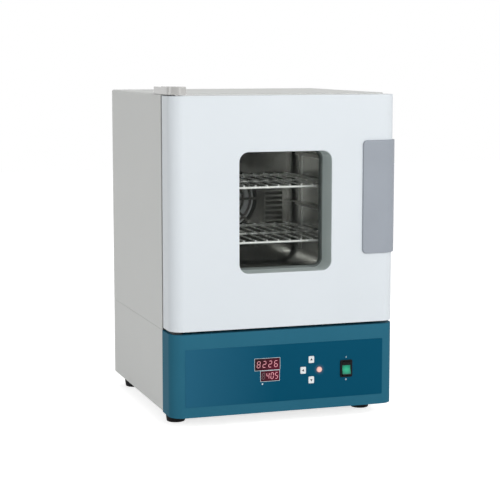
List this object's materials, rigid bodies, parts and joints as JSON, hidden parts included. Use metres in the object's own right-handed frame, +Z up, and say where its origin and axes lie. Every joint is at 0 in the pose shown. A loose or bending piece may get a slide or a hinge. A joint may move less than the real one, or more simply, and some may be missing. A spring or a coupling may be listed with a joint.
{
  "type": "laboratory drying oven",
  "caption": "Bench-top forced-air drying oven with a windowed side-hinged door, wire shelves, a control panel in the base and rubber feet.",
  "frame": {"origin": "on the bench, under the middle of the oven", "axes": "+Y to the back, +X to the oven's right side, +Z up"},
  "size_m": [0.4437, 0.4983, 0.63],
  "materials": {
    "cabinet_paint": "fine powder coat, light grey",
    "door_paint": "smooth powder coat, cool white",
    "inner_paint": "thin grey coat",
    "stainless": "fine brushed",
    "zinc_steel": "zinc plated, satin",
    "chrome_wire": "bright plated wire",
    "bright_steel": "turned and ground",
    "cast_alloy": "cast, matt",
    "heater_sheath": "heat-tinted sheath",
    "bronze": "sintered bearing metal",
    "magnet_block": "bonded magnet, matt black",
    "grey_plastic": "fine moulded grain",
    "cap_plastic": "moulded, heat resistant",
    "silver_plastic": "silver-grey moulding",
    "teal_plastic": "satin moulding",
    "teal_film": "printed film, satin",
    "display_red": "dark red window",
    "lamp_lens": "clear lens",
    "key_white": "smooth",
    "key_orange": "lit from behind",
    "switch_black": "smooth black",
    "rocker_green": "clear green, lit",
    "rubber_black": "matt",
    "silicone_dark": "matt seal",
    "silicone_grey": "matt seal",
    "clear_glass": "clear",
    "wool": "mineral wool",
    "circuit_green": "solder mask",
    "relay_black": "moulded"
  },
  "bodies": {
    "cabinet": {"back_panel": "cabinet_paint", "base_deck": "inner_paint", "base_tray": "cabinet_paint", "cabinet_wrap": "cabinet_paint", "case_screws": "zinc_steel", "chamber_liner": "stainless", "control_housing": "teal_plastic", "controller_board": "circuit_green", "display_lower": "display_red", "display_upper": "display_red", "duct_plate": "stainless", "fan_motor": "cast_alloy", "foot_front_left": "rubber_black", "foot_front_right": "rubber_black", "foot_rear_left": "rubber_black", "foot_rear_right": "rubber_black", "foot_screws": "zinc_steel", "front_frame": "stainless", "heater_element": "heater_sheath", "hinge_cover": "silver_plastic", "hinge_pin_bottom": "bright_steel", "hinge_pin_top": "bright_steel", "hinge_plate_bottom": "zinc_steel", "hinge_plate_top": "zinc_steel", "insulation_wool": "wool", "mains_inlet": "relay_black", "motor_cover": "cabinet_paint", "motor_plate": "zinc_steel", "panel_overlay": "teal_film", "power_board": "circuit_green", "shelf_rail_left": "stainless", "shelf_rail_right": "stainless", "solid_state_relay": "relay_black", "status_led": "lamp_lens", "switch_body": "switch_black", "temperature_probe": "bright_steel", "vent_pipe": "zinc_steel"},
    "door": {"door_skin": "door_paint", "door_cap_top": "cap_plastic", "door_cap_bottom": "cap_plastic", "hinge_bushes": "bronze", "door_inner_panel": "stainless", "door_insulation": "wool", "window_reveal": "stainless", "outer_glass": "clear_glass", "inner_glass": "clear_glass", "glass_seals": "silicone_dark", "door_gasket": "silicone_grey", "door_handle": "grey_plastic", "door_magnets": "magnet_block"},
    "fan": {"fan_impeller": "cast_alloy", "motor_shaft": "bright_steel"},
    "vent_shutter": {"vent_shutter": "zinc_steel"},
    "shelf_upper": {"shelf_upper": "chrome_wire"},
    "shelf_lower": {"shelf_lower": "chrome_wire"},
    "power_rocker": {"switch_rocker": "rocker_green"},
    "key_up": {"key_up": "key_white"},
    "key_left": {"key_left": "key_white"},
    "key_down": {"key_down": "key_white"},
    "key_set": {"key_set": "key_orange"}
  },
  "joints": [
    {"name": "door_hinge", "type": "hinge", "parent": "cabinet", "child": "door", "pos_m": [-0.2, -0.2202, 0.4], "axis": [0, 0, -1], "range_deg": [0, 115]},
    {"name": "fan_spin", "type": "hinge", "parent": "cabinet", "child": "fan", "pos_m": [0, 0.15, 0.39], "axis": [0, 1, 0], "continuous": true},
    {"name": "vent_turn", "type": "hinge", "parent": "cabinet", "child": "vent_shutter", "pos_m": [0.112, 0.213, 0.521], "axis": [0, -1, 0], "range_deg": [0, 90]},
    {"name": "shelf_upper_slide", "type": "slide", "parent": "cabinet", "child": "shelf_upper", "axis": [0, -1, 0], "range_m": [0, 0.008]},
    {"name": "shelf_lower_slide", "type": "slide", "parent": "cabinet", "child": "shelf_lower", "axis": [0, -1, 0], "range_m": [0, 0.008]},
    {"name": "power_rocker_tilt", "type": "hinge", "parent": "cabinet", "child": "power_rocker", "pos_m": [0.1212, -0.2434, 0.0984], "axis": [1, 0, 0], "range_deg": [0, 12]},
    {"name": "key_up_press", "type": "slide", "parent": "cabinet", "child": "key_up", "axis": [0, 1, 0], "range_m": [0, 0.0007], "stiffness_N_per_m": 600},
    {"name": "key_left_press", "type": "slide", "parent": "cabinet", "child": "key_left", "axis": [0, 1, 0], "range_m": [0, 0.0007], "stiffness_N_per_m": 600},
    {"name": "key_down_press", "type": "slide", "parent": "cabinet", "child": "key_down", "axis": [0, 1, 0], "range_m": [0, 0.0007], "stiffness_N_per_m": 600},
    {"name": "key_set_press", "type": "slide", "parent": "cabinet", "child": "key_set", "axis": [0, 1, 0], "range_m": [0, 0.0007], "stiffness_N_per_m": 600}
  ]
}
